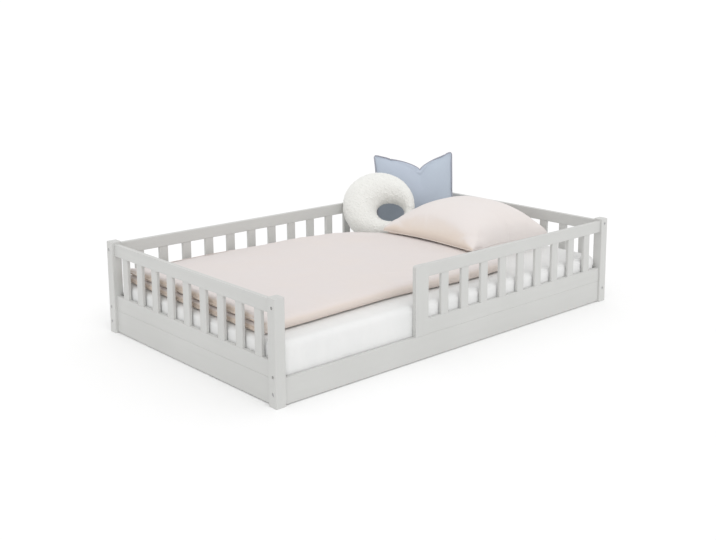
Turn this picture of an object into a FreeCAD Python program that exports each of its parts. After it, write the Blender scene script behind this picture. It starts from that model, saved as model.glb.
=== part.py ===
import FreeCAD, Part
import math
import os

# Toddler floor bed: a low slatted bed frame for a 1200 x 2000 mattress, with its bedding.
# +X runs from the foot end to the head end, +Y from the open front to the back, +Z up.
# The origin is on the floor, under the middle of the frame. All lengths are in mm.

# ---- the frame ----
bed_length = 2080.0
bed_width = 1270.0
post_size = 48.0
post_height = 428.0
post_round = 4.0
post_top_ease = 2.0
rail_drop = 11.0            # the top rails end this far below the tops of the posts
panel_thickness = 20.0
end_recess = 14.0           # foot and head panels, back from the posts' outer faces
side_recess = 10.0          # front and back panels, back from the posts' outer faces
floor_gap = 3.0
base_board_height = 105.0
bottom_rail_height = 68.0
top_rail_height = 56.0
edge_round = 3.0            # on the top rails
edge_ease = 1.5             # on the bars under them
slat_width = 46.0
slat_thickness = 16.0
slat_ease = 2.5
tenon_length = 12.0
tenon_shoulder = 3.5
tenon_clearance = 0.1
foot_tenon_length = 14.0    # the foot panel's bars, glued into the foot posts
foot_tenon_shoulder = 8.0
end_slat_count = 9
end_slat_margin = 60.0      # from the posts to the first and last slat of an end panel
back_slat_count = 15
guard_slat_count = 9
guard_length = 1294.0
guard_stile_width = 75.0
guard_corner_round = 12.0

# ---- the bolts ----
bolt_shank_r = 2.8
bolt_hole_r = 3.5
bolt_head_r = 6.0
bolt_head_height = 4.0
bolt_sink_r = 7.0
bolt_sink_depth = 6.0
bolt_sides = 12             # bolts and their bores are prisms, near enough to round
bolt_reach = 34.0           # how deep the bore runs into the end of a rail
bolt_end_gap = 4.0
board_bolt_z = 54.0
lower_bolt_z = 122.0
upper_bolt_z = 390.0
cross_bolt_z = 404.0
cross_bolt_low_z = 70.0

# ---- the slatted base ----
ledger_height = 40.0
ledger_thickness = 22.0
ledger_end_gap = 56.0
base_slat_count = 14
base_slat_width = 75.0
base_slat_thickness = 18.0
base_slat_end_gap = 3.0
base_end_gap = 86.0         # from the end boards to the first and last slat
base_top_z = 95.0
base_ease = 2.0
strap_width = 24.0
strap_thickness = 1.5
strap_offset = 380.0
beam_width = 44.0
beam_end_gap = 2.0
beam_foot_size = 60.0
beam_foot_height = 20.0
beam_foot_spacing = 620.0
bracket_thickness = 18.0
bracket_depth = 30.0
bracket_clearance = 0.5

# ---- the mattress and its sheet ----
soft_clearance = 0.3
mattress_gap = 8.0          # all round, to the boards
mattress_height = 140.0
mattress_corner = 45.0
mattress_ease = 20.0
sheet_thickness = 1.2
sheet_turn_under = 110.0

# ---- the folded duvet ----
duvet_foot_gap = 12.0       # it stops this far short of the foot panel
duvet_head_gap = 566.0
duvet_front_gap = 135.0
duvet_back_gap = 25.0
duvet_swing_gap = 1426.0    # from the head panel to where its back edge starts to swing in
duvet_corner_gap = 863.0
duvet_corner_in = 143.0
duvet_head_in = 365.0
duvet_thickness = 72.0
duvet_seam_depth = 46.0
duvet_seam_height = 10.0
duvet_ease = 12.0

# ---- the pillow ----
pillow_length = 592.0
pillow_head_gap = 58.0
pillow_back_gap = 323.0
pillow_front_gap = 265.0
pillow_seam = 10.0
pillow_seam_rise = 14.0     # the back seam lies this much above the front one
pillow_crown = 160.0
pillow_step_gap = 8.0       # its underside drops off this far past the duvet's end
pillow_step_run = 46.0
pillow_back_rise = 98.0     # its underside leaves the sheet this far before the back seam

# ---- the ring cushion ----
ring_radius = 198.0
ring_hole_radius = 68.0
ring_hole_offset = 60.0
ring_hole_drop = 24.0
ring_depth = 150.0
ring_rim_steps = 5
ring_hole_steps = 3
ring_lean_angle = 30.0
ring_turn_angle = -38.0
ring_head_gap = 521.0       # to the middle of the ring
ring_back_gap = 159.0

# ---- the square cushion ----
cushion_size = 430.0
cushion_depth = 124.0
cushion_dip = 84.0
cushion_seam = 8.0
cushion_lean_angle = 12.0
cushion_turn_angle = -38.0
cushion_head_gap = 241.0    # to the middle of the cushion
cushion_back_gap = 131.0

half_length = bed_length / 2
half_width = bed_width / 2
post_x = half_length - post_size
post_y = half_width - post_size
end_face_x = half_length - end_recess
side_face_y = half_width - side_recess
inner_x = end_face_x - panel_thickness
inner_y = side_face_y - panel_thickness
end_middle_x = end_face_x - panel_thickness / 2
side_middle_y = side_face_y - panel_thickness / 2
board_top_z = floor_gap + base_board_height
bottom_rail_top_z = board_top_z + bottom_rail_height
top_rail_top_z = post_height - rail_drop
top_rail_low_z = top_rail_top_z - top_rail_height
end_slat_pitch = (2 * (post_y - end_slat_margin) - slat_width) / (end_slat_count - 1)
guard_x = post_x - guard_length
guard_rail_x = guard_x + guard_stile_width
ledger_top_z = base_top_z - base_slat_thickness
base_span = 2 * (inner_x - base_end_gap)
ledger_length = 2 * (inner_x - ledger_end_gap)
mattress_length = 2 * (inner_x - mattress_gap)
mattress_width = 2 * (inner_y - mattress_gap)
mattress_z = base_top_z + soft_clearance + sheet_thickness
sheet_top_z = mattress_z + mattress_height + sheet_thickness
rest_z = sheet_top_z + soft_clearance
duvet_foot_x = -inner_x + duvet_foot_gap
duvet_head_x = inner_x - duvet_head_gap
duvet_front_y = -inner_y + duvet_front_gap
duvet_fold_r = duvet_thickness / 2
duvet_top_z = rest_z + duvet_thickness
pillow_back_x = inner_x - pillow_head_gap
pillow_front_x = pillow_back_x - pillow_length
pillow_left_y = inner_y - pillow_back_gap
pillow_right_y = -inner_y + pillow_front_gap

X_AXIS = FreeCAD.Vector(1, 0, 0)
Y_AXIS = FreeCAD.Vector(0, 1, 0)
Z_AXIS = FreeCAD.Vector(0, 0, 1)
ORIGIN = FreeCAD.Vector(0, 0, 0)

os.makedirs("parts", exist_ok=True)


def save(name, solids):
    shape = solids
    if isinstance(solids, list):
        shape = Part.makeCompound(solids)
    shape.exportStep("parts/" + name + ".step")


def block(x0, x1, y0, y1, z0, z1):
    low = FreeCAD.Vector(min(x0, x1), min(y0, y1), min(z0, z1))
    return Part.makeBox(abs(x1 - x0), abs(y1 - y0), abs(z1 - z0), low)


def edges_along(shape, axis):
    found = []
    for edge in shape.Edges:
        direction = edge.tangentAt(edge.FirstParameter)
        if edge.Curve.TypeId == "Part::GeomLine" and abs(direction.dot(axis)) > 0.999:
            found.append(edge)
    return found


def rounded(bar, axis, radius):
    return bar.makeFillet(radius, edges_along(bar, axis))


def eased(bar, axis, size):
    return bar.makeChamfer(size, edges_along(bar, axis))


def rim_at(shape, z):
    return [edge for edge in shape.Edges
            if abs(edge.BoundBox.ZMin - z) < 0.01 and abs(edge.BoundBox.ZMax - z) < 0.01]


def cut_where_met(bar, tools):
    for tool in tools:
        if bar.BoundBox.intersect(tool.BoundBox):
            bar = bar.cut(tool)
    return bar


# ---- bolts ----
# Sunk bolts run through the posts into the ends of the side panels and of the head panel.
# The upper bores of the foot front post stay open, for a guard fitted the other way round.

def bolt_places():
    """Each bore as its start on the post's outer face, its direction, and whether it has a bolt."""
    places = []
    for end in (-1, 1):
        for side in (-1, 1):
            for z in (board_bolt_z, lower_bolt_z, upper_bolt_z):
                start = FreeCAD.Vector(end * half_length, side * side_middle_y, z)
                spare = end < 0 and side < 0 and z != board_bolt_z
                places.append((start, X_AXIS * -end, not spare))
    for side in (-1, 1):
        for z in (cross_bolt_low_z, cross_bolt_z):
            start = FreeCAD.Vector(end_middle_x, side * half_width, z)
            places.append((start, Y_AXIS * -side, True))
    return places


def prism(radius, length, start, axis):
    side = Z_AXIS.cross(axis)
    points = []
    for number in range(bolt_sides + 1):
        turn = 2 * math.pi * number / bolt_sides
        points.append(start + side * (radius * math.cos(turn)) + Z_AXIS * (radius * math.sin(turn)))
    return Part.Face(Part.makePolygon(points)).extrude(axis * length)


def post_bore(start, axis):
    through = prism(bolt_hole_r, post_size, start, axis)
    return through.fuse(prism(bolt_sink_r, bolt_sink_depth, start, axis))


def rail_bores():
    """Blind bores in the ends of the rails, beyond the posts."""
    return [prism(bolt_hole_r, bolt_reach, start + axis * post_size, axis)
            for start, axis, filled in bolt_places() if filled]


def make_bolts():
    bolts = []
    for start, axis, filled in bolt_places():
        if filled:
            seat = start + axis * bolt_sink_depth
            length = post_size - bolt_sink_depth + bolt_reach - bolt_end_gap
            head = prism(bolt_head_r, bolt_head_height, seat - axis * bolt_head_height, axis)
            bolts.append(head.fuse(prism(bolt_shank_r, length, seat, axis)))
    return bolts


# ---- posts and panels ----
# Each panel is a base board with a ladder of two rails and upright slats standing on it.
# The front has its board in full length and the ladder, with an end stile, beside the way in.

def foot_tenon(side, z0, z1, growth):
    """A bar's stub tenon in a foot post, or its mortise when it has grown by the clearance."""
    half = panel_thickness / 2 - tenon_shoulder + growth
    return block(-end_middle_x - half, -end_middle_x + half,
                 side * post_y, side * (post_y + foot_tenon_length + growth),
                 z0 + foot_tenon_shoulder - growth, z1 - foot_tenon_shoulder + growth)


def panel_levels():
    return ((floor_gap, board_top_z), (board_top_z, bottom_rail_top_z), (top_rail_low_z, top_rail_top_z))


def make_post(end, side):
    post = block(end * half_length, end * post_x, side * half_width, side * post_y, 0, post_height)
    post = rounded(post, Z_AXIS, post_round)
    post = post.makeChamfer(post_top_ease, rim_at(post, post_height))
    for start, axis, filled in bolt_places():
        if start.x * end > 0 and start.y * side > 0:
            post = post.cut(post_bore(start, axis))
    if end < 0:
        for z0, z1 in panel_levels():
            post = post.cut(foot_tenon(side, z0, z1, tenon_clearance))
    return post


def edged(bar, axis, z1):
    """Top rails have rounded edges, the bars under them are only eased."""
    if z1 == top_rail_top_z:
        return rounded(bar, axis, edge_round)
    return eased(bar, axis, edge_ease)


def end_bar(end, z0, z1):
    bar = edged(block(end * inner_x, end * end_face_x, -post_y, post_y, z0, z1), Y_AXIS, z1)
    if end < 0:
        for side in (-1, 1):
            bar = bar.fuse(foot_tenon(side, z0, z1, 0))
    return bar


def side_bar(side, x0, z0, z1):
    return edged(block(x0, post_x, side * inner_y, side * side_face_y, z0, z1), X_AXIS, z1)


def spread(start, stop, count):
    """Middles of a row of slats with equal gaps between start and stop."""
    gap = (stop - start - count * slat_width) / (count + 1)
    return [start + gap + slat_width / 2 + number * (gap + slat_width) for number in range(count)]


def upright(along_x, middle, wide, thin, z0, z1):
    """A bar standing on end, its wide side along X or along Y."""
    half_x, half_y = wide / 2, thin / 2
    if not along_x:
        half_x, half_y = half_y, half_x
    return block(middle.x - half_x, middle.x + half_x, middle.y - half_y, middle.y + half_y, z0, z1)


def slat_tenons(along_x, middle, growth):
    reach = tenon_length + growth
    trim = 2 * (tenon_shoulder - growth)
    return upright(along_x, middle, slat_width - trim, slat_thickness - trim,
                   bottom_rail_top_z - reach, top_rail_low_z + reach)


def make_slat(along_x, middle):
    slat = upright(along_x, middle, slat_width, slat_thickness, bottom_rail_top_z, top_rail_low_z)
    return eased(slat, Z_AXIS, slat_ease).fuse(slat_tenons(along_x, middle, 0))


def make_stile():
    """The guard's end stile, its free top corner rounded."""
    stile = block(guard_x, guard_rail_x, -inner_y, -side_face_y, board_top_z, top_rail_top_z)
    corner = [edge for edge in edges_along(stile, Y_AXIS)
              if edge.BoundBox.XMax < guard_x + edge_ease and edge.BoundBox.ZMin > top_rail_low_z]
    return stile.makeFillet(guard_corner_round, corner)


# ---- the slatted base ----
# Cross slats on two straps lie on a ledger along each side and on a beam down the middle.
# The beam stands on three feet and its ends sit in forked blocks on the end boards.

def make_ledger(side):
    bar = block(-ledger_length / 2, ledger_length / 2, side * inner_y, side * (inner_y - ledger_thickness),
                ledger_top_z - ledger_height, ledger_top_z)
    return eased(bar, X_AXIS, base_ease)


def make_base_slats():
    half = inner_y - base_slat_end_gap
    step = (base_span - base_slat_width) / (base_slat_count - 1)
    slats = []
    for number in range(base_slat_count):
        x = (base_slat_width - base_span) / 2 + number * step
        slat = block(x - base_slat_width / 2, x + base_slat_width / 2, -half, half, ledger_top_z, base_top_z)
        slats.append(eased(slat, Y_AXIS, base_ease))
    return slats


def make_straps():
    straps = []
    for side in (-1, 1):
        y = side * strap_offset
        straps.append(block(-base_span / 2, base_span / 2, y - strap_width / 2, y + strap_width / 2,
                            ledger_top_z - strap_thickness, ledger_top_z))
    return straps


def make_beam():
    half = inner_x - beam_end_gap
    beam = block(-half, half, -beam_width / 2, beam_width / 2, beam_foot_height, ledger_top_z)
    return eased(beam, X_AXIS, base_ease)


def make_beam_feet():
    half = beam_foot_size / 2
    feet = []
    for number in (-1, 0, 1):
        x = number * beam_foot_spacing
        feet.append(eased(block(x - half, x + half, -half, half, 0, beam_foot_height), Z_AXIS, base_ease))
    return feet


def make_brackets():
    slot = beam_width / 2 + bracket_clearance
    outer = slot + bracket_thickness
    brackets = []
    for end in (-1, 1):
        face = end * inner_x
        front = end * (inner_x - bracket_depth)
        body = block(face, front, -outer, outer, floor_gap, ledger_top_z)
        gap = block(face, front, -slot, slot, beam_foot_height - bracket_clearance, ledger_top_z)
        brackets.append(body.cut(gap))
    return brackets


# ---- mattress and fitted sheet ----
# The sheet is a thin skin round the mattress, open underneath, with its rim turned under.

def mattress_block(growth):
    half_l = mattress_length / 2 + growth
    half_w = mattress_width / 2 + growth
    form = block(-half_l, half_l, -half_w, half_w, mattress_z - growth, mattress_z + mattress_height + growth)
    return rounded(form, Z_AXIS, mattress_corner + growth)


def make_mattress():
    form = mattress_block(0)
    rims = rim_at(form, mattress_z) + rim_at(form, mattress_z + mattress_height)
    return form.makeChamfer(mattress_ease, rims)


def make_fitted_sheet(mattress):
    skin = mattress_block(sheet_thickness)
    rims = rim_at(skin, mattress_z - sheet_thickness) + rim_at(skin, sheet_top_z)
    skin = skin.makeChamfer(mattress_ease, rims)
    half_l = mattress_length / 2 - sheet_turn_under
    half_w = mattress_width / 2 - sheet_turn_under
    opening = block(-half_l, half_l, -half_w, half_w, mattress_z - 2 * sheet_thickness,
                    mattress_z + sheet_thickness)
    return skin.cut(mattress).cut(opening)


# ---- folded duvet ----
# Folded once, with the fold along the front. The two layers part at the back and at the foot.

def duvet_outline(inset, z):
    """The plan of the duvet behind its fold, drawn in by an inset at the open edges."""
    foot_x = duvet_foot_x + inset
    head_x = duvet_head_x - inset
    front_y = duvet_front_y + duvet_fold_r
    back_y = inner_y - inset
    corners = ((foot_x, front_y), (foot_x, back_y - duvet_back_gap),
               (inner_x - duvet_swing_gap, back_y - duvet_back_gap),
               (inner_x - duvet_corner_gap, back_y - duvet_corner_in),
               (head_x, back_y - duvet_head_in), (head_x, front_y))
    points = [FreeCAD.Vector(x, y, z) for x, y in corners]
    return Part.Face(Part.makePolygon(points + points[:1]))


def make_duvet():
    slab = duvet_outline(0, rest_z).extrude(Z_AXIS * duvet_thickness)
    rims = [edge for edge in rim_at(slab, rest_z) + rim_at(slab, duvet_top_z)
            if edge.BoundBox.YMax > duvet_front_y + duvet_fold_r + duvet_ease]
    slab = slab.makeChamfer(duvet_ease, rims)
    seam_z = rest_z + duvet_fold_r - duvet_seam_height / 2
    outside = duvet_outline(-duvet_ease, seam_z).extrude(Z_AXIS * duvet_seam_height)
    inside = duvet_outline(duvet_seam_depth, seam_z).extrude(Z_AXIS * duvet_seam_height)
    slab = slab.cut(outside.cut(inside))
    fold_start = FreeCAD.Vector(duvet_foot_x, duvet_front_y + duvet_fold_r, rest_z + duvet_fold_r)
    fold = Part.makeCylinder(duvet_fold_r, duvet_head_x - duvet_foot_x, fold_start, X_AXIS)
    return slab.fuse(fold)


# ---- stuffed pieces ----
# A stuffed form is where two lens shapes meet at right angles, so that all its seams are thin.

def arc(a, b, bulge):
    return Part.Arc(a, (a + b) * 0.5 + bulge, b).toShape()


def lines(points):
    return [Part.makeLine(a, b) for a, b in zip(points, points[1:])]


def lens(a, b, seam, bulge, other_bulge):
    """A section between two edges as thick as the seam, bulging to both sides."""
    half = bulge * (seam / 2 / bulge.Length)
    return Part.Face(Part.Wire([arc(a + half, b + half, bulge)] + lines([b + half, b - half])
                               + [arc(b - half, a - half, other_bulge)] + lines([a - half, a + half])))


def make_pillow():
    """Its front lies on the duvet's end, and the rest drops to the sheet."""
    under_z = duvet_top_z + soft_clearance
    seam_z = under_z + pillow_seam / 2
    seam = Z_AXIS * (pillow_seam / 2)
    front = FreeCAD.Vector(pillow_front_x, pillow_right_y, seam_z)
    back = FreeCAD.Vector(pillow_back_x, pillow_right_y, seam_z + pillow_seam_rise)
    step_x = duvet_head_x + pillow_step_gap
    step = FreeCAD.Vector(step_x, pillow_right_y, under_z)
    landing = FreeCAD.Vector(step_x + pillow_step_run, pillow_right_y, rest_z)
    leaving = FreeCAD.Vector(pillow_back_x - pillow_back_rise, pillow_right_y, rest_z)
    outline = [arc(front + seam, back + seam, Z_AXIS * (pillow_crown - pillow_seam / 2))]
    outline += lines([back + seam, back - seam, leaving, landing, step, front - seam, front + seam])
    along = Part.Face(Part.Wire(outline)).extrude(Y_AXIS * (pillow_left_y - pillow_right_y))
    left = FreeCAD.Vector(pillow_front_x, pillow_left_y, seam_z)
    right = FreeCAD.Vector(pillow_front_x, pillow_right_y, seam_z)
    crown = Z_AXIS * (pillow_crown + pillow_seam_rise)
    belly = Z_AXIS * (rest_z - under_z - soft_clearance)
    across = lens(right, left, pillow_seam, crown, belly).extrude(X_AXIS * pillow_length)
    return along.common(across)


def make_square_cushion():
    """Stands in the head corner with its top edge chopped down between two ears."""
    half = cushion_size / 2
    bulge = Y_AXIS * (cushion_depth / 2)
    width = X_AXIS * cushion_size
    dip = Z_AXIS * cushion_dip
    low = Z_AXIS * -half
    high = Z_AXIS * half
    ear = lens(low - dip, high - dip, cushion_seam, bulge, bulge * -1)
    chopped = ear.extrude(width * 0.5 + dip).fuse(ear.extrude(width * -0.5 + dip))
    upright_lens = lens(low, high + dip, cushion_seam, bulge, bulge * -1)
    upright_lens.translate(width * -0.5)
    side_lens = lens(width * -0.5, width * 0.5, cushion_seam, bulge, bulge * -1)
    side_lens.translate(low)
    cushion = chopped.common(upright_lens.extrude(width)).common(side_lens.extrude(high * 2))
    return stand(cushion, inner_x - cushion_head_gap, inner_y - cushion_back_gap,
                 cushion_turn_angle, cushion_lean_angle)


def rounded_profile(edge, radius, inward, steps):
    """Points of a half circle, as a row of straight steps, round an edge at the given distance."""
    points = []
    for number in range(steps + 1):
        turn = math.pi * number / steps - math.pi / 2
        points.append(FreeCAD.Vector(edge + inward * radius * (1 - math.cos(turn)), radius * math.sin(turn), 0))
    return points


def turned(points):
    """A solid turned about the ring's axis from points given as distance and depth."""
    corners = [FreeCAD.Vector(point.x, point.y, 0) for point in points]
    closed = [FreeCAD.Vector(0, corners[0].y, 0)] + corners + [FreeCAD.Vector(0, corners[-1].y, 0)]
    face = Part.Face(Part.makePolygon(closed + closed[:1]))
    return face.revolve(ORIGIN, Y_AXIS, 360)


def make_ring_cushion():
    """Its hole sits off centre, so one side of the ring is fuller."""
    disc = turned(rounded_profile(ring_radius, ring_depth / 2, -1, ring_rim_steps))
    hole = turned(rounded_profile(ring_hole_radius, ring_depth / 2, 1, ring_hole_steps))
    hole.translate(X_AXIS * ring_hole_offset - Z_AXIS * ring_hole_drop)
    return stand(disc.cut(hole), inner_x - ring_head_gap, inner_y - ring_back_gap,
                 ring_turn_angle, ring_lean_angle)


def stand(form, x, y, turn_angle, lean_angle):
    """Leans a form back, turns it about its upright and stands it on the sheet."""
    form.rotate(ORIGIN, X_AXIS, -lean_angle)
    form.rotate(ORIGIN, Z_AXIS, turn_angle)
    form.translate(FreeCAD.Vector(x, y, rest_z - form.optimalBoundingBox().ZMin))
    return form


# ---- build the frame ----

end_slat_places = [(number - (end_slat_count - 1) / 2) * end_slat_pitch for number in range(end_slat_count)]
foot_slat_places = [FreeCAD.Vector(-end_middle_x, y, 0) for y in end_slat_places]
head_slat_places = [FreeCAD.Vector(end_middle_x, y, 0) for y in end_slat_places]
back_slat_places = [FreeCAD.Vector(x, side_middle_y, 0) for x in spread(-post_x, post_x, back_slat_count)]
guard_slat_places = [FreeCAD.Vector(x, -side_middle_y, 0) for x in spread(guard_rail_x, post_x, guard_slat_count)]

cuts = rail_bores()
for middle in foot_slat_places + head_slat_places:
    cuts.append(slat_tenons(False, middle, tenon_clearance))
for middle in back_slat_places + guard_slat_places:
    cuts.append(slat_tenons(True, middle, tenon_clearance))

for end, end_name in ((-1, "foot"), (1, "head")):
    for side, side_name in ((-1, "front"), (1, "back")):
        save("post_" + end_name + "_" + side_name, make_post(end, side))
    for (z0, z1), bar_name in zip(panel_levels(), ("base_board", "bottom_rail", "top_rail")):
        save(end_name + "_" + bar_name, cut_where_met(end_bar(end, z0, z1), cuts))

for (z0, z1), bar_name in zip(panel_levels(), ("base_board", "bottom_rail", "top_rail")):
    save("back_" + bar_name, cut_where_met(side_bar(1, -post_x, z0, z1), cuts))
save("front_base_board", cut_where_met(side_bar(-1, -post_x, floor_gap, board_top_z), cuts))
save("guard_stile", make_stile())
for (z0, z1), bar_name in zip(panel_levels()[1:], ("bottom_rail", "top_rail")):
    save("guard_" + bar_name, cut_where_met(side_bar(-1, guard_rail_x, z0, z1), cuts))

for number, middle in enumerate(foot_slat_places):
    save("foot_slat_" + str(number + 1), make_slat(False, middle))
for number, middle in enumerate(guard_slat_places):
    save("guard_slat_" + str(number + 1), make_slat(True, middle))
save("head_slats", [make_slat(False, middle) for middle in head_slat_places])
save("back_slats", [make_slat(True, middle) for middle in back_slat_places])
save("panel_bolts", make_bolts())

save("ledger_front", make_ledger(-1))
save("ledger_back", make_ledger(1))
save("base_slats", make_base_slats())
save("base_straps", make_straps())
save("center_beam", make_beam())
save("beam_feet", make_beam_feet())
save("beam_brackets", make_brackets())

# ---- build the bedding ----

mattress = make_mattress()
save("mattress", mattress)
save("fitted_sheet", make_fitted_sheet(mattress))
save("duvet", make_duvet())
save("pillow", make_pillow())
save("ring_cushion", make_ring_cushion())
save("square_cushion", make_square_cushion())
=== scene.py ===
import bpy
import math
from mathutils import Matrix, Vector, noise


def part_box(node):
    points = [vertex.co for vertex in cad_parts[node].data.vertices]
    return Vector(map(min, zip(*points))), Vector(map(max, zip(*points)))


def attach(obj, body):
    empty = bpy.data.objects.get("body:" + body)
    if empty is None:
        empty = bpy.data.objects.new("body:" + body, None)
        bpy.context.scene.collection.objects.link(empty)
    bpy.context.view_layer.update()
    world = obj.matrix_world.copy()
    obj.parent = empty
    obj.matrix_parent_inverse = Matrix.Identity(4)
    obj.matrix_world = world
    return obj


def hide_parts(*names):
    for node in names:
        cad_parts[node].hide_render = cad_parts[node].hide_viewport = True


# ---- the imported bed, the camera and the room ----
# The camera stands off the foot end and the open front and looks down on the bed, as in the photo.
# Its place and lens come from the frame's lines in the photo. The floor is white and keeps the bed's
# soft shadow; one broad lamp and an even sky light it.

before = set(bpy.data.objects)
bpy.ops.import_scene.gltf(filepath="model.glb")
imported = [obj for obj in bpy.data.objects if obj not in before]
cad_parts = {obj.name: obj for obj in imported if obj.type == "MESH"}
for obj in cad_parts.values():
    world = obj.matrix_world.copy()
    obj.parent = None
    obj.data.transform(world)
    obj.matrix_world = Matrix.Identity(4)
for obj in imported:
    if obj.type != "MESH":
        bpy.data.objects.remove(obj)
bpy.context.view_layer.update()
scene = bpy.context.scene


def placed(name, data):
    """A new object in the scene."""
    made = bpy.data.objects.new(name, data)
    scene.collection.objects.link(made)
    return made


class Socket:
    """An output in a material. Arithmetic on it adds the nodes that do the sum."""

    def __init__(self, tree, socket):
        self.tree = tree
        self.socket = socket

    def node(self, kind, inputs=(), output=0, **settings):
        """Any node, with its inputs by name or number and its settings by name."""
        made = self.tree.nodes.new(kind)
        for name, value in settings.items():
            setattr(made, name, value)
        for name, value in dict(inputs).items():
            if isinstance(value, Socket):
                self.tree.links.new(value.socket, made.inputs[name])
            else:
                made.inputs[name].default_value = value
        return Socket(self.tree, made.outputs[output])

    def sum(self, operation, a, b):
        return self.node("ShaderNodeMath", {0: a, 1: b}, operation=operation)

    def __add__(self, other):
        return self.sum("ADD", self, other)

    def __radd__(self, other):
        return self.sum("ADD", other, self)

    def __sub__(self, other):
        return self.sum("SUBTRACT", self, other)

    def __rsub__(self, other):
        return self.sum("SUBTRACT", other, self)

    def __mul__(self, other):
        return self.sum("MULTIPLY", self, other)

    def __rmul__(self, other):
        return self.sum("MULTIPLY", other, self)

    def sine(self):
        return self.sum("SINE", self, 0.0)

    def scaled(self, factors):
        """This vector with each axis stretched."""
        return self.node("ShaderNodeVectorMath", {0: self, 1: factors}, operation="MULTIPLY")

    def shifted(self, other, amount):
        """This vector pushed about by a colour."""
        push = other.scaled((amount, amount, amount))
        return self.node("ShaderNodeVectorMath", {0: self, 1: push}, operation="ADD")

    def noise(self, scale, detail=2.0, roughness=0.5, output=0):
        return self.node("ShaderNodeTexNoise", {"Vector": self, "Scale": scale, "Detail": detail,
                                                "Roughness": roughness}, output)

    def cells(self, scale):
        """How far each place is from the nearest of many scattered points."""
        return self.node("ShaderNodeTexVoronoi", {"Vector": self, "Scale": scale})

    def part(self, axis):
        """One component of this vector."""
        return self.node("ShaderNodeSeparateXYZ", {0: self}, "XYZ".index(axis))

    def wave(self, axis, pitch):
        """Fine waves that follow each other along one axis."""
        return (self.part(axis) * pitch).sine()

    def threads(self, pitch):
        """The threads of a weave, on whichever side of a piece."""
        return self.wave("X", pitch) + self.wave("Y", pitch) + self.wave("Z", pitch)

    def between(self, low, high, to_low=0.0, to_high=1.0):
        """This value, smoothly mapped from one range to another."""
        return self.node("ShaderNodeMapRange", {"Value": self, "From Min": low, "From Max": high,
                                                "To Min": to_low, "To Max": to_high},
                         interpolation_type="SMOOTHSTEP")

    def blend(self, a, b):
        """Colour a where this value is 0 and colour b where it is 1."""
        made = self.tree.nodes.new("ShaderNodeMix")
        made.data_type = "RGBA"
        for number, value in ((0, self), (6, a), (7, b)):
            if isinstance(value, Socket):
                self.tree.links.new(value.socket, made.inputs[number])
            else:
                made.inputs[number].default_value = (*value, 1.0)
        return Socket(self.tree, made.outputs[2])

    def bump(self, distance, strength=1.0):
        return self.node("ShaderNodeBump", {"Height": self, "Distance": distance, "Strength": strength})


class Finish:
    """A material with one shader. Constants are set on the shader, varying values are linked."""

    def __init__(self, name, **constants):
        self.material = bpy.data.materials.new(name)
        self.material.use_nodes = True
        self.tree = self.material.node_tree
        self.shader = self.tree.nodes["Principled BSDF"]
        for key, value in constants.items():
            self.shader.inputs[key.replace("_", " ")].default_value = value
        where = self.tree.nodes.new("ShaderNodeTexCoord")
        self.place = Socket(self.tree, where.outputs["Object"])
        self.facing = Socket(self.tree, where.outputs["Normal"])

    def varies(self, **sockets):
        for key, value in sockets.items():
            self.tree.links.new(value.socket, self.shader.inputs[key.replace("_", " ")])
        return self

    def on(self, piece):
        piece.data.materials.clear()
        piece.data.materials.append(self.material)


LOOKS_DOWN, LOOKS_ROUND = 10.20, 46.88
camera = placed("camera", bpy.data.cameras.new("camera"))
camera.location = (-3.19056, -3.55099, 1.50486)
camera.rotation_euler = (math.radians(90 - LOOKS_DOWN), 0, math.radians(LOOKS_ROUND - 90))
camera.data.sensor_width = 36
camera.data.lens = 51.30
camera.data.shift_x = -0.0447
camera.data.shift_y = -0.120
scene.camera = camera
scene.view_settings.view_transform = "Standard"

FLOOR_HALF = 60
floor_mesh = bpy.data.meshes.new("floor")
floor_corners = [(x * FLOOR_HALF, y * FLOOR_HALF, 0) for x, y in ((-1, -1), (1, -1), (1, 1), (-1, 1))]
floor_mesh.from_pydata(floor_corners, [], [(0, 1, 2, 3)])
floor = placed("floor", floor_mesh)
floor_paint = Finish("floor_white", Roughness=0.9, Specular_IOR_Level=0.1)
floor_tone = floor_paint.place.noise(0.7).between(0.3, 0.7)
floor_paint.varies(Base_Color=floor_tone.blend((0.95, 0.95, 0.95), (0.96, 0.96, 0.96)))
floor_paint.on(floor)

SKY_LIGHT, SKY_SEEN_EXTRA = 0.90, 0.15
sky = bpy.data.worlds.new("sky")
sky.use_nodes = True
scene.world = sky
sky_light = sky.node_tree.nodes["Background"]
sky_light.inputs["Color"].default_value = (1.0, 1.0, 1.0, 1.0)
ray = Socket(sky.node_tree, sky.node_tree.nodes.new("ShaderNodeLightPath").outputs["Is Camera Ray"])
sky.node_tree.links.new((ray * SKY_SEEN_EXTRA + SKY_LIGHT).socket, sky_light.inputs["Strength"])

lamp = placed("overhead_lamp", bpy.data.lights.new("overhead_lamp", "SUN"))
lamp.data.energy = 0.72
lamp.data.angle = math.radians(45)
lamp.rotation_euler = Vector((0.26, 0.62, -1.0)).to_track_quat("-Z", "Y").to_euler()

# ---- painted frame ----
# Posts, rails, boards and slats keep their CAD meshes. Each gets satin grey paint over pine, with
# the grain along its own length, faint knots and roller texture.


def grain(across, lengthwise, along):
    """How often a pattern repeats on each axis: drawn out along one, close on the other two."""
    return [lengthwise if axis == along else across for axis in "XYZ"]


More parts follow.
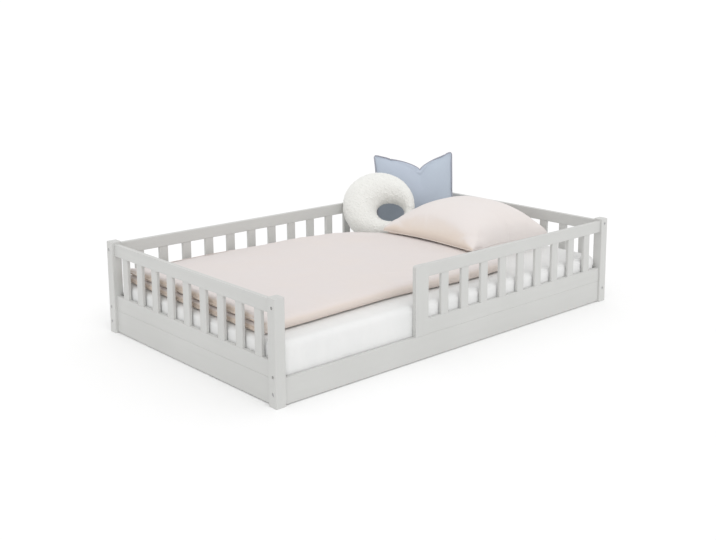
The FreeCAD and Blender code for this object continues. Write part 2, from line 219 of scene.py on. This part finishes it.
def painted_pine(name, along):
    """Grey paint whose grain runs along one axis."""
    paint = Finish(name, Roughness=0.5, Specular_IOR_Level=0.35, IOR=1.46)
    stretch = grain(46.0, 1.6, along)
    sway = paint.place.noise(1.3, output=1)
    fibre = paint.place.shifted(sway, 0.05).scaled(stretch).noise(1.0, 5.0, 0.62)
    fine = paint.place.scaled([value * 6 for value in stretch]).noise(1.0, 2.0)
    roller = paint.place.noise(520.0, 2.0)
    knots = paint.place.scaled(grain(1.0, 0.35, along)).cells(5.5)
    knot = knots.between(0.0, 0.055, 1.0, 0.0)
    cloud = paint.place.noise(2.6, 3.0).between(0.25, 0.75)
    base = cloud.blend((0.580, 0.582, 0.567), (0.610, 0.612, 0.597))
    grained = (fibre.between(0.35, 0.75) * 0.4).blend(base, (0.575, 0.575, 0.560))
    tone = (knot * 0.35).blend(grained, (0.50, 0.49, 0.46))
    height = fibre * 0.7 + fine * 0.2 + roller * 0.12 + knot * 0.3
    rough = fibre.between(0.2, 0.8, 0.42, 0.58)
    return paint.varies(Base_Color=tone, Roughness=rough, Normal=height.bump(0.0006, 0.55))


paint_x = painted_pine("painted_wood_x", "X")
paint_y = painted_pine("painted_wood_y", "Y")
paint_z = painted_pine("painted_wood_z", "Z")
for name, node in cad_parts.items():
    upright = "slat" in name and not name.startswith("base")
    if upright or name.startswith("post_") or name == "guard_stile":
        paint_z.on(node)
    elif name.startswith(("foot_", "head_")):
        paint_y.on(node)
    elif name.startswith(("back_", "front_", "guard_")):
        paint_x.on(node)

# ---- slatted base ----
# Unpainted pine under the mattress: ledgers, cross slats, middle beam with its feet and brackets,
# tied by two woven straps.


def bare_pine(name, along):
    """Planed pine with rings drawn out along one axis."""
    wood = Finish(name, Roughness=0.6, Specular_IOR_Level=0.3)
    stretch = grain(30.0, 0.9, along)
    sway = wood.place.noise(2.0, output=1)
    ring = (wood.place.shifted(sway, 0.04).scaled(stretch).noise(1.0, 3.0) * 44.0).sine()
    fibre = wood.place.scaled([value * 14 for value in stretch]).noise(1.0, 3.0)
    late = ring.between(0.2, 1.0)
    light = fibre.between(0.3, 0.7).blend((0.66, 0.49, 0.30), (0.74, 0.57, 0.37))
    tone = (late * 0.55).blend(light, (0.50, 0.32, 0.16))
    height = ring * 0.3 + fibre
    return wood.varies(Base_Color=tone, Roughness=fibre.between(0.2, 0.8, 0.5, 0.7),
                       Normal=height.bump(0.0005, 0.5))


pine_x = bare_pine("bare_wood_x", "X")
pine_y = bare_pine("bare_wood_y", "Y")
for name in ("ledger_front", "ledger_back", "center_beam", "beam_brackets"):
    pine_x.on(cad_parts[name])
for name in ("base_slats", "beam_feet"):
    pine_y.on(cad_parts[name])

webbing = Finish("webbing", Roughness=0.85, Sheen_Weight=0.2)
ribs = webbing.place.wave("Y", 2600.0) * webbing.place.wave("X", 1800.0)
webbing.varies(Base_Color=ribs.between(-1, 1).blend((0.62, 0.60, 0.54), (0.80, 0.78, 0.72)),
               Normal=ribs.bump(0.0004, 0.8))
webbing.on(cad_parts["base_straps"])

# ---- bolts ----
# The sunk bolts keep their CAD shanks and heads. They are zinc plated, with turned marks that break
# up the shine.

zinc = Finish("bolt_steel", Metallic=1.0, Roughness=0.4)
marks = zinc.place.noise(900.0, 3.0)
zinc.varies(Base_Color=marks.between(0.3, 0.7).blend((0.42, 0.42, 0.43), (0.62, 0.62, 0.63)),
            Roughness=marks.between(0.2, 0.8, 0.28, 0.5), Normal=marks.bump(0.0001, 0.4))
zinc.on(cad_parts["panel_bolts"])

# ---- mattress ----
# A foam block in a woven, lightly quilted cover, with rounded corners and rims. The lattice and slab
# helpers also form the fitted sheet.


def smooth(t):
    """0 up to t = 0, 1 from t = 1 on, and an even curve between."""
    t = max(0.0, min(1.0, t))
    return t * t * (3 - 2 * t)


def clamp(value, reach):
    """The value, kept between -reach and reach."""
    return max(-reach, min(reach, value))


def mesh_of(name, points, faces):
    """A smooth-shaded mesh."""
    mesh = bpy.data.meshes.new(name)
    mesh.from_pydata(points, [], faces)
    mesh.shade_smooth()
    return mesh


def block_mesh(name, counts, place, kept=None):
    """A box lattice with shared corners, each point of it put in place from coordinates of -1..1."""
    numbers = {}
    points = []
    faces = []

    def corner(key):
        if key not in numbers:
            numbers[key] = len(points)
            points.append(place(*[2.0 * key[axis] / counts[axis] - 1.0 for axis in range(3)]))
        return numbers[key]

    for axis in range(3):
        a, b = (axis + 1) % 3, (axis + 2) % 3
        for end in (0, counts[axis]):
            for i in range(counts[a]):
                for j in range(counts[b]):
                    keys = []
                    for di, dj in ((0, 0), (1, 0), (1, 1), (0, 1)):
                        key = [0, 0, 0]
                        key[axis], key[a], key[b] = end, i + di, j + dj
                        keys.append(tuple(key))
                    if end == 0:
                        keys.reverse()
                    if kept is None or kept(axis, end > 0, keys):
                        faces.append([corner(key) for key in keys])
    return mesh_of(name, points, faces)


def slab_point(a, b, c, half, plan_round, edge_round):
    """Puts a lattice point on a slab with rounded corners in plan and rounded rims."""
    x, y, z = a * half.x, b * half.y, c * half.z
    ix = clamp(x, half.x - plan_round)
    iy = clamp(y, half.y - plan_round)
    out = Vector((x - ix, y - iy))
    reach = max(abs(out.x), abs(out.y))
    if out.length > 0:
        out = out.normalized() * reach
    iz = clamp(z, half.z - edge_round)
    rim = z - iz
    side = max(0.0, reach - (plan_round - edge_round))
    if abs(rim) > 0 and side > 0:
        corner = Vector((side, abs(rim)))
        corner = corner.normalized() * max(corner.x, corner.y)
        if out.length > 0:
            out = out.normalized() * (plan_round - edge_round + corner.x)
        rim = math.copysign(corner.y, rim)
    return Vector((ix + out.x, iy + out.y, iz + rim))


mattress_low, mattress_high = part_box("mattress")
mattress_half = (mattress_high - mattress_low) / 2
mattress_middle = (mattress_high + mattress_low) / 2
MATTRESS_INSET = Vector((0.005, 0.005, 0.003))
MATTRESS_CORNER, MATTRESS_RIM = 0.042, 0.024


def mattress_place(a, b, c):
    spot = slab_point(a, b, c, mattress_half - MATTRESS_INSET, MATTRESS_CORNER, MATTRESS_RIM)
    return spot + mattress_middle


mattress = placed("mattress_block", block_mesh("mattress_block", (150, 90, 12), mattress_place))
ticking = Finish("mattress_cover", Roughness=0.85, Sheen_Weight=0.25, Sheen_Roughness=0.5)
knit = ticking.place.wave("X", 2100.0) * ticking.place.wave("Y", 2100.0)
lengthwise, crosswise = ticking.place.part("X"), ticking.place.part("Y")
quilt = ((lengthwise + crosswise) * 26.0).sine() * ((lengthwise - crosswise) * 26.0).sine()
ticking.varies(Base_Color=knit.between(-1, 1).blend((0.72, 0.72, 0.70), (0.80, 0.80, 0.78)),
               Normal=(knit * 0.1 + quilt * 2.0).bump(0.0012, 0.6))
ticking.on(mattress)
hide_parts("mattress")
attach(mattress, "mattress_body")

# ---- fitted sheet ----
# White cotton pulled over the mattress, with its rim turned under. It is taut on top, gathers at
# the corners, and hangs in shallow upright folds down the sides.

sheet_low, sheet_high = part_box("fitted_sheet")
sheet_half = (sheet_high - sheet_low) / 2
sheet_middle = (sheet_high + sheet_low) / 2
SHEET_COUNTS = (300, 180, 16)
SHEET_INSET = Vector((0.0008, 0.0008, 0.0008))
SHEET_CORNER, SHEET_RIM = 0.046, 0.022
TURNED_UNDER = 0.11
SIDE_FULLNESS, FOLD_DEPTH, TOP_DIP = 0.0062, 0.0018, 0.0008


def sheet_place(a, b, c):
    return slab_point(a, b, c, sheet_half - SHEET_INSET, SHEET_CORNER, SHEET_RIM) + sheet_middle


def sheet_kept(axis, end, keys):
    """Everything but the middle of the underside."""
    if axis != 2 or end:
        return True
    x = [abs(2.0 * key[0] / SHEET_COUNTS[0] - 1.0) for key in keys]
    y = [abs(2.0 * key[1] / SHEET_COUNTS[1] - 1.0) for key in keys]
    return (max(x) * sheet_half.x > sheet_half.x - TURNED_UNDER
            or max(y) * sheet_half.y > sheet_half.y - TURNED_UNDER)


sheet_mesh = block_mesh("fitted_sheet_cloth", SHEET_COUNTS, sheet_place, sheet_kept)
sheet = placed("fitted_sheet_cloth", sheet_mesh)
# The sides are pushed out along the outline's normal and folded, the top sinks a little.
for vertex in sheet.data.vertices:
    spot = vertex.co
    depth = (sheet_high.z - spot.z) / (sheet_high.z - sheet_low.z)
    end_gap = sheet_high.x - abs(spot.x)
    side_gap = sheet_high.y - abs(spot.y)
    corner = math.exp(-((end_gap ** 2 + side_gap ** 2) ** 0.5) / 0.16)
    along = spot.x if side_gap < end_gap else spot.y
    edge = min(end_gap, side_gap)
    if edge < SHEET_RIM + 0.0005:
        fold = noise.noise(Vector((along * 34, depth * 1.3, 3.1))) * (0.25 + corner)
        fold += 0.6 * noise.noise(Vector((along * 11, depth * 2.2, 7.7)))
        full = SIDE_FULLNESS * smooth(depth / 0.16) - FOLD_DEPTH * min(1.0, abs(fold)) * min(1.0, depth * 4)
        core_x = clamp(spot.x, sheet_half.x - SHEET_CORNER)
        core_y = clamp(spot.y, sheet_half.y - SHEET_CORNER)
        out = Vector((spot.x - core_x, spot.y - core_y, 0))
        if depth > 0.5:
            full += (SHEET_CORNER - SHEET_INSET.x - out.length) * 0.8
        spot += out.normalized() * full
    elif depth < 0.5:
        low = noise.noise(Vector((spot.x * 5, spot.y * 14, 1.7)))
        spot.z -= TOP_DIP * (1 + low) * min(1.0, edge / 0.06)
skin = sheet.modifiers.new("cloth", "SOLIDIFY")
skin.thickness = 0.0006
skin.offset = -1.0
cotton = Finish("sheet_cotton", Roughness=0.8, Sheen_Weight=0.3, Sheen_Roughness=0.4)
warp = cotton.place.threads(3600.0)
creases = cotton.place.scaled((9.0, 3.0, 3.0)).noise(1.0, 4.0, 0.55)
long_folds = cotton.place.scaled((2.0, 2.0, 2.0)).noise(1.2, 2.0)
cotton.varies(Base_Color=creases.between(0.3, 0.7).blend((0.765, 0.77, 0.765), (0.80, 0.80, 0.795)),
              Normal=(warp * 0.03 + creases * 2.2 + long_folds * 5.0).bump(0.002, 0.5))
cotton.on(sheet)
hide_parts("fitted_sheet")
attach(sheet, "mattress_body")

# ---- folded duvet ----
# One quilt folded along the front. Two puffed layers lie on each other, closed in a round fold at
# the front and open at the foot, back and head, where each layer thins to a sewn edge.

duvet_low, duvet_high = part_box("duvet")
DUVET_FOOT, DUVET_HEAD = duvet_low.x, duvet_high.x
DUVET_FRONT = duvet_low.y
DUVET_FOLD = (duvet_high.z - duvet_low.z) / 2
DUVET_MIDDLE = duvet_low.z + DUVET_FOLD
DUVET_INSET = 0.004
LAYER_LIFT = DUVET_FOLD * 0.5
LAYER_ROUND = 0.034
SEAM_HALF = 0.0012


def cotton_cloth(name, light, shade, sides=None, end=None, crease_shade_amount=0.0, weave=3000.0):
    """Washed cotton in two close tones, with small puckers and a fine weave.

    Painted shade: the shade tone gathers where the cloth turns over its sides. Where it faces the
    foot it takes the end tone, a painted shade, darker along its creases as painted crease shade.
    """
    cloth = Finish(name, Roughness=0.82, Sheen_Weight=0.25, Sheen_Roughness=0.45)
    threads = cloth.place.threads(weave)
    puckers = cloth.place.noise(26.0, 3.0, 0.55)
    swells = cloth.place.noise(5.0, 2.0)
    slub = cloth.place.scaled((260.0, 18.0, 60.0)).noise(1.0, 2.0)
    amount = swells.between(0.3, 0.8) * 0.3 + slub.between(0.45, 0.8) * 0.12
    if sides:
        # Painted shade: the colour moves toward the shade tone where the cloth faces away from up.
        amount = amount + cloth.facing.part("Z").between(*sides, 0.9, 0.0)
    tone = amount.blend(light, shade)
    if end:
        # Painted shade: faces toward the foot and away from up take the end tone, darker along crease
        # lines.
        turned = cloth.facing.part("X").between(-0.90, -0.25, 1.0, 0.0)
        low = cloth.facing.part("Z").between(0.20, 0.85, 1.0, 0.0)
        lines = cloth.place.scaled((20.0, 30.0, 85.0)).noise(1.0, 3.0, 0.6)
        crease_shade = lines.between(0.40, 0.55, crease_shade_amount, 0.0)
        tone = (turned * low).blend(tone, crease_shade.blend(end, [value * 0.7 for value in end]))
    height = threads * 0.02 + puckers * 1.0 + swells * 3.0
    return cloth.varies(Base_Color=tone, Normal=height.bump(0.002, 0.45))


def through(line, x):
    """A smooth line through points of x and y."""
    for number in range(len(line) - 1):
        if x <= line[number + 1][0] or number == len(line) - 2:
            before, a = line[max(0, number - 1)], line[number]
            b, after = line[number + 1], line[min(len(line) - 1, number + 2)]
            t = max(0.0, min(1.0, (x - a[0]) / (b[0] - a[0])))
            rise_a = (b[1] - before[1]) / (b[0] - before[0]) * (b[0] - a[0])
            rise_b = (after[1] - a[1]) / (after[0] - a[0]) * (b[0] - a[0])
            return ((2 * t ** 3 - 3 * t ** 2 + 1) * a[1] + (t ** 3 - 2 * t ** 2 + t) * rise_a
                    + (3 * t ** 2 - 2 * t ** 3) * b[1] + (t ** 3 - t ** 2) * rise_b)


DUVET_BACK_LINE = ((-1.0, 0.574), (-0.75, 0.577), (-0.45, 0.575), (-0.2, 0.536),
                   (0.0, 0.492), (0.143, 0.456), (0.30, 0.347), (0.44, 0.240))
DUVET_FRONT_LINE = ((-1.0, -0.500), (-0.80, -0.497), (-0.50, -0.483), (-0.25, -0.474), (0.05, -0.498),
                    (0.20, -0.507), (0.45, -0.498))


def duvet_fold(x, back, front, s):
    """A point in the middle of the quilt, s from its lower back edge, and the way out from it."""
    run = back - front
    arc = math.pi * LAYER_LIFT
    if s < run:
        return Vector((x, back - s, DUVET_MIDDLE - LAYER_LIFT)), Vector((0, 0, -1))
    if s > run + arc:
        return Vector((x, front + s - run - arc, DUVET_MIDDLE + LAYER_LIFT)), Vector((0, 0, 1))
    turn = (s - run) / LAYER_LIFT
    normal = Vector((0, -math.sin(turn), -math.cos(turn)))
    return Vector((x, front, DUVET_MIDDLE)) + normal * LAYER_LIFT, normal


def duvet_dent(x, s, spot, normal, foot_rise):
    """How far the outer cloth sinks: swells, drag by the guard, creases at the foot, and slump."""
    swell = 0.0040 * noise.noise(Vector((spot.x * 2.6, spot.y * 3.4, 4.0)))
    swell += 0.0022 * noise.noise(Vector((spot.x * 8.0 + spot.y * 3, spot.y * 5.0, 9.0)))
    drag = noise.noise(Vector((x * 10 + spot.y * 22, spot.y * 3 - x * 1.5, 6.0)))
    near_guard = smooth((x + 0.55) / 0.35) * (1 - smooth((x - 0.1) / 0.3))
    near_guard *= 1 - smooth((spot.y + 0.40) / 0.22)
    creases = abs(noise.noise(Vector((spot.x * 24 + s * 6, spot.y * 52, s * 40)))) * foot_rise
    slump = 0.009 * smooth((DUVET_FRONT + 0.14 - spot.y) / 0.14) * max(0.0, normal.z)
    slump += 0.013 * smooth((-0.15 - x) / 0.35) * smooth((spot.y - 0.38) / 0.18)
    slump -= 0.009 * smooth((x + 0.25) / 0.25) * smooth((spot.y - 0.25) / 0.15)
    return 0.0045 - swell + 0.0035 * near_guard * abs(drag) + 0.0040 * creases + slump


def duvet_place(u, v, side):
    """u from foot to head, v from the lower back edge over the fold to the upper one."""
    u = math.copysign(1 - (1 - abs(u)) ** 1.35, u)
    v = math.copysign(1 - (1 - abs(v)) ** 1.10, v)
    x = DUVET_FOOT + DUVET_INSET + (DUVET_HEAD - DUVET_FOOT - 2 * DUVET_INSET) * (u + 1) / 2
    back = through(DUVET_BACK_LINE, x) - DUVET_INSET
    front = through(DUVET_FRONT_LINE, x) + DUVET_FOLD
    run = back - front
    arc = math.pi * LAYER_LIFT
    s = (v + 1) / 2 * (2 * run + arc)
    spot, normal = duvet_fold(x, back, front, s)
    edge = max(0.0, min((x - DUVET_FOOT - DUVET_INSET) * 1.75, DUVET_HEAD - DUVET_INSET - x,
                        s, 2 * run + arc - s))
    puff = math.sqrt(max(0.0, 1 - (1 - min(1.0, edge / LAYER_ROUND)) ** 2))
    half = SEAM_HALF + (LAYER_LIFT - 0.0018) * puff
    foot_rise = 1 - smooth((x - DUVET_FOOT) / 0.12)
    spot.z += foot_rise * (0.005 if s > run + arc else 0.001) - (1 - puff) * LAYER_LIFT * 0.20
    if side * normal.z > 0 and s > run:
        half += 0.010 * puff * smooth((0.085 - x + DUVET_FOOT) / 0.07)
    open_air = smooth((normal.z + 0.95) / 0.75) if side > 0 else 0.3
    dent = max(0.0, side) * duvet_dent(x, s, spot, normal, foot_rise)
    pucker = (1 - smooth(edge / 0.09)) * noise.noise(Vector((spot.x * 30, spot.y * 30, 2.0)))
    return spot + normal * (side * half - open_air * (dent + abs(side) * 0.0026 * pucker))


def quilt_mesh(name, across, along, place):
    """Two layers of faces that share a rim, each point put in place from -1..1 twice and a side.

    Returns the mesh and the numbers of the rim's points.
    """
    numbers = {}
    points = []
    faces = []

    def corner(i, j, side):
        rim = i in (0, across) or j in (0, along)
        key = (i, j, 0 if rim else side)
        if key not in numbers:
            numbers[key] = len(points)
            points.append(place(2.0 * i / across - 1.0, 2.0 * j / along - 1.0, key[2]))
        return numbers[key]

    for i in range(across):
        for j in range(along):
            square = ((i, j), (i + 1, j), (i + 1, j + 1), (i, j + 1))
            faces.append([corner(a, b, 1) for a, b in square])
            faces.append([corner(a, b, -1) for a, b in reversed(square)])
    rim = [(i, 0) for i in range(across)] + [(across, j) for j in range(along)] \
        + [(i, along) for i in range(across, 0, -1)] + [(0, j) for j in range(along, 0, -1)]
    return mesh_of(name, points, faces), [numbers[(i, j, 0)] for i, j in rim]


def seam_tube(name, mesh, rim, radius, sides):
    """A closed tube along a rim, for a sewn seam or a cord."""
    line = [mesh.vertices[number].co for number in rim]
    points = []
    faces = []
    for number, spot in enumerate(line):
        after = (number + 1) % len(line)
        ahead = (line[after] - line[number - 1]).normalized()
        up = Vector((0, 0, 1)) if abs(ahead.z) < 0.9 else Vector((1, 0, 0))
        side = ahead.cross(up).normalized()
        top = side.cross(ahead)
        for step in range(sides):
            turn = 2 * math.pi * step / sides
            beside = (step + 1) % sides
            points.append(spot + side * (radius * math.cos(turn)) + top * (radius * math.sin(turn)))
            faces.append((number * sides + step, after * sides + step,
                          after * sides + beside, number * sides + beside))
    return placed(name, mesh_of(name, points, faces))


duvet_mesh, duvet_rim = quilt_mesh("duvet_folded", 170, 290, duvet_place)
duvet = placed("duvet_folded", duvet_mesh)
duvet_seam = seam_tube("duvet_seam", duvet_mesh, duvet_rim, 0.0016, 6)
# The duvet's sides and its foot end are painted darker as shade, most along the creases at the foot.
duvet_cloth = cotton_cloth("duvet_cotton", (0.707, 0.655, 0.641), (0.735, 0.655, 0.602),
                           sides=(0.20, 0.92), end=(0.655, 0.545, 0.450), crease_shade_amount=0.6)
for made in (duvet, duvet_seam):
    duvet_cloth.on(made)
    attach(made, "duvet_body")
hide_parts("duvet")

# ---- pillow ----
# A wide crowned pillow, its front seam on the duvet's end and its back on the sheet. It is swelled
# as cloth, which gives it its small seam puckers.

SWELL_FRAMES = 20


def puff_up(piece, cap, floor=None):
    """Swells a piece as cloth under pressure, no point by more than the cap or through its floor."""
    start = [vertex.co.copy() for vertex in piece.data.vertices]
    cloth = piece.modifiers.new("swell", "CLOTH")
    settings = cloth.settings
    settings.quality = 6
    settings.mass = 0.3
    settings.tension_stiffness = 12.0
    settings.compression_stiffness = 12.0
    settings.shear_stiffness = 6.0
    settings.bending_stiffness = 0.15
    settings.use_pressure = True
    settings.uniform_pressure_force = 4.0
    settings.shrink_min = -0.03
    settings.effector_weights.gravity = 0.0
    cloth.point_cache.frame_start = 1
    cloth.point_cache.frame_end = SWELL_FRAMES
    for frame_number in range(1, SWELL_FRAMES + 1):
        scene.frame_set(frame_number)
    swollen = piece.evaluated_get(bpy.context.evaluated_depsgraph_get())
    ends = [vertex.co.copy() for vertex in swollen.data.vertices]
    piece.modifiers.remove(cloth)
    scene.frame_set(1)
    for vertex, old, new in zip(piece.data.vertices, start, ends):
        move = new - old
        if move.length > cap:
            move *= cap / move.length
        vertex.co = old + move
        if floor is not None:
            vertex.co.z = max(vertex.co.z, floor(vertex.co.x))
    piece.data.update()


pillow_low, pillow_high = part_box("pillow")
pillow_middle = (pillow_low + pillow_high) / 2
pillow_half = (pillow_high - pillow_low) / 2
REST_Z = duvet_low.z
PILLOW_SEAM = 0.316
PILLOW_CROWN = 0.149


def rounded(u, v, start):
    """Rounds the corners of the square -1..1 beyond start."""
    a, b = [max(0.0, (abs(value) - start) / (1 - start)) for value in (u, v)]
    if a > 0 and b > 0:
        u = math.copysign(start + (1 - start) * a * math.sqrt(1 - b * b / 2), u)
        v = math.copysign(start + (1 - start) * b * math.sqrt(1 - a * a / 2), v)
    return u, v


def pillow_floor(x):
    """What the pillow lies on: the duvet's end, then the sheet."""
    drop = smooth((x - duvet_high.x + 0.012) / 0.055)
    return duvet_high.z + 0.0012 + (REST_Z - duvet_high.z) * drop


def pillow_place(u, v, side):
    """u from the front seam to the back one, v from the guard side to the ring side."""
    draw = 0.020 if u > 0 else 0.012
    plan_u, plan_v = rounded(u, v, 0.92)
    x = pillow_middle.x + plan_u * (pillow_half.x - draw * (1 - v * v) * abs(u))
    y = pillow_middle.y + plan_v * (pillow_half.y - draw * (1 - u * u) * abs(v))
    ridged = (max(0.0, 1 - abs(u) ** 2.6) * max(0.0, 1 - abs(v) ** 3.0)) ** 0.50
    domed = max(0.0, 1 - (abs(u) ** 3.4 + abs(v) ** 3.4) ** (2.2 / 3.4)) ** 0.60
    ring_side = smooth((v - u) / 1.9) * (1 - smooth((v - u - 1.2) / 0.6))
    guard_side = smooth((-u - v - 0.9) / 1.0)
    crown = ridged + (domed - ridged) * (0.08 + 0.52 * ring_side + 0.15 * guard_side)
    tip = smooth((v - u - 1.2) / 0.8)
    x -= 0.008 * guard_side + 0.012 * tip
    y += 0.008 * tip - 0.008 * guard_side
    z = PILLOW_SEAM + 0.014 * (u + 1) / 2 - 0.004 * tip - 0.003 * guard_side
    z -= 0.020 * smooth((u + 0.5) / 0.9) * smooth(-v)
    if side > 0:
        z += 0.003 + PILLOW_CROWN * crown
    elif side < 0:
        z = z - 0.002 + (pillow_floor(x) - z + 0.002) * min(1.0, crown * 2.0)
    return Vector((x, y, z))


pillow_mesh, pillow_rim = quilt_mesh("pillow_crowned", 90, 96, pillow_place)
pillow = placed("pillow_crowned", pillow_mesh)
puff_up(pillow, 0.010, pillow_floor)
pillow_seam = seam_tube("pillow_seam", pillow_mesh, pillow_rim, 0.0018, 6)
# The pillow's faces toward the foot and away from up take the end tone as painted shade.
pillow_cloth = cotton_cloth("pillow_cotton", (0.765, 0.715, 0.697), (0.755, 0.685, 0.642),
                            end=(0.765, 0.670, 0.590))
for made in (pillow, pillow_seam):
    pillow_cloth.on(made)
    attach(made, "pillow_body")
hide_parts("pillow")

# ---- ring cushion ----
# A soft ring in looped white pile, fuller on the side away from the hole. It leans back, and its
# underside is pressed flat on the sheet.

RING_LEAN = Matrix.Rotation(math.radians(-38), 3, "Z") @ Matrix.Rotation(math.radians(-30), 3, "X")
ring_low, ring_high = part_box("ring_cushion")
ring_middle = (ring_low + ring_high) / 2
RING_RADIUS = 0.196
RING_HOLE = Vector((0.063, 0.0, -0.033))
RING_THROAT = (0.074, 0.054)
RING_DEPTH = 0.074
RING_SINK, RING_BACK_GAP = 0.017, 0.002
RING_FLAT, RING_SQUASH = 0.010, 0.0094
BACKWARD = Vector((0, 1, 0))


def ring_place(turn, round_tube):
    """A point of the ring: turn goes round the hole, round_tube round the tube."""
    out = Vector((math.cos(turn), 0, math.sin(turn)))
    inner = RING_HOLE + Vector((RING_THROAT[0] * math.cos(turn), 0, RING_THROAT[1] * math.sin(turn)))
    along = out.dot(RING_HOLE)
    far = -along + math.sqrt(along * along - RING_HOLE.length_squared + RING_RADIUS ** 2)
    outer = RING_HOLE + out * far
    wide = (outer - inner).length / 2
    deep = math.sqrt(RING_DEPTH ** 2 - (RING_DEPTH - min(wide, RING_DEPTH)) ** 2)
    over, behind = math.cos(round_tube), math.sin(round_tube)
    spot = (inner + outer) / 2 + out * (wide * over) + BACKWARD * (deep * behind)
    normal = (out * (deep * over) + BACKWARD * (wide * behind)).normalized()
    return spot, normal


def ring_mesh(name, around, sides):
    """The ring round its own middle, its skin roughened into small loops."""
    points = []
    faces = []
    for i in range(around):
        for j in range(sides):
            spot, normal = ring_place(2 * math.pi * i / around, 2 * math.pi * j / sides)
            loops = abs(noise.noise(spot * 95)) + 0.6 * abs(noise.noise(spot * 210 + Vector((5, 1, 3))))
            points.append(spot - normal * (0.0038 - 0.0052 * loops))
            after, beside = (i + 1) % around, (j + 1) % sides
            faces.append((i * sides + j, i * sides + beside, after * sides + beside, after * sides + j))
    return mesh_of(name, points, faces)


ring = placed("ring_cushion_pile", ring_mesh("ring_cushion_pile", 300, 150))
ring.data.transform(RING_LEAN.to_4x4())
lows = [min(vertex.co[axis] for vertex in ring.data.vertices) for axis in range(3)]
highs = [max(vertex.co[axis] for vertex in ring.data.vertices) for axis in range(3)]
ring.data.transform(Matrix.Translation((ring_middle.x - (lows[0] + highs[0]) / 2 - 0.005,
                                        ring_middle.y - (lows[1] + highs[1]) / 2 + 0.004,
                                        ring_low.z - RING_SINK - lows[2])))
for vertex in ring.data.vertices:
    under = ring_low.z + RING_FLAT - vertex.co.z
    if under > 0:
        vertex.co.z = ring_low.z + RING_FLAT - RING_SQUASH * (1 - math.exp(-under / RING_SQUASH))
    vertex.co.y = min(vertex.co.y, ring_high.y - RING_BACK_GAP)
boucle = Finish("boucle", Roughness=0.95, Sheen_Weight=0.5, Sheen_Roughness=0.6)
loops = boucle.place.cells(210.0)
tufts = boucle.place.noise(420.0, 3.0)
boucle.varies(Base_Color=(loops.between(0.0, 0.7) * 0.5).blend((0.88, 0.88, 0.85), (0.757, 0.757, 0.72)),
              Normal=(tufts * 0.4 - loops).bump(0.002, 0.6))
boucle.on(ring)
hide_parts("ring_cushion")
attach(ring, "ring_cushion_body")

# ---- square cushion ----
# Blue-grey, standing on its lower edge in the head corner, its top pressed down between two ears.
# It is swelled as cloth like the pillow, and a darker cord is sewn round its seam.

CUSHION_LEAN = Matrix.Rotation(math.radians(-38), 3, "Z") @ Matrix.Rotation(math.radians(-12), 3, "X")
cushion_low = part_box("square_cushion")[0]
CUSHION_HALF = 0.216
CUSHION_DEPTH = 0.056
CUSHION_DIP = 0.096
CUSHION_NOTCH = 0.13
CUSHION_SPOT = (0.765, 0.474)


def cushion_place(u, v, side):
    """u across, v upwards. The top edge dips to a notch, and the cloth is thinner below it."""
    draw = 0.012
    across = u - CUSHION_NOTCH
    away = min(1.0, abs(across) / (1 - math.copysign(CUSHION_NOTCH, across)))
    high = (v + 1) / 2
    plan_u, plan_v = rounded(u, v, 0.90)
    x = plan_u * (CUSHION_HALF - draw * (1 - v * v) * abs(u)) + 0.004
    x -= 0.015 * high ** 3 * smooth((-u - 0.4) / 0.6)
    z = plan_v * CUSHION_HALF + (draw * (1 - u * u) * v * v if v < 0 else 0.0)
    z -= CUSHION_DIP * (1 - away ** (0.70 + 1.6 * (1 - high))) * high ** 1.6
    z -= (0.008 + 0.013 * smooth((0.3 - u) / 1.3)) * high ** 1.6
    crown = max(0.0, 1 - abs(u) ** 2.4) ** 0.6 * max(0.0, 1 - abs(v) ** 2.4) ** 0.6
    crease = math.exp(-(across / 0.24) ** 2) * smooth((v + 0.3) / 1.2)
    return Vector((x, side * CUSHION_DEPTH * crown * (1 - 0.35 * crease), z))


cushion_mesh, cushion_rim = quilt_mesh("square_cushion_chopped", 78, 78, cushion_place)
cushion = placed("square_cushion_chopped", cushion_mesh)
puff_up(cushion, 0.006)
cord = seam_tube("square_cushion_cord", cushion_mesh, cushion_rim, 0.0036, 10)
lowest = min((CUSHION_LEAN @ vertex.co).z for vertex in cord.data.vertices)
for made in (cushion, cord):
    made.data.transform(CUSHION_LEAN.to_4x4())
    made.data.transform(Matrix.Translation((*CUSHION_SPOT, cushion_low.z + 0.0006 - lowest)))
blue = cotton_cloth("cushion_cotton", (0.469, 0.531, 0.612), (0.455, 0.482, 0.590), weave=2200.0)
blue.on(cushion)
edge_cord = cotton_cloth("cushion_cord_cotton", (0.36, 0.37, 0.43), (0.33, 0.32, 0.37), weave=2600.0)
edge_cord.on(cord)
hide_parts("square_cushion")
for made in (cushion, cord):
    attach(made, "square_cushion_body")
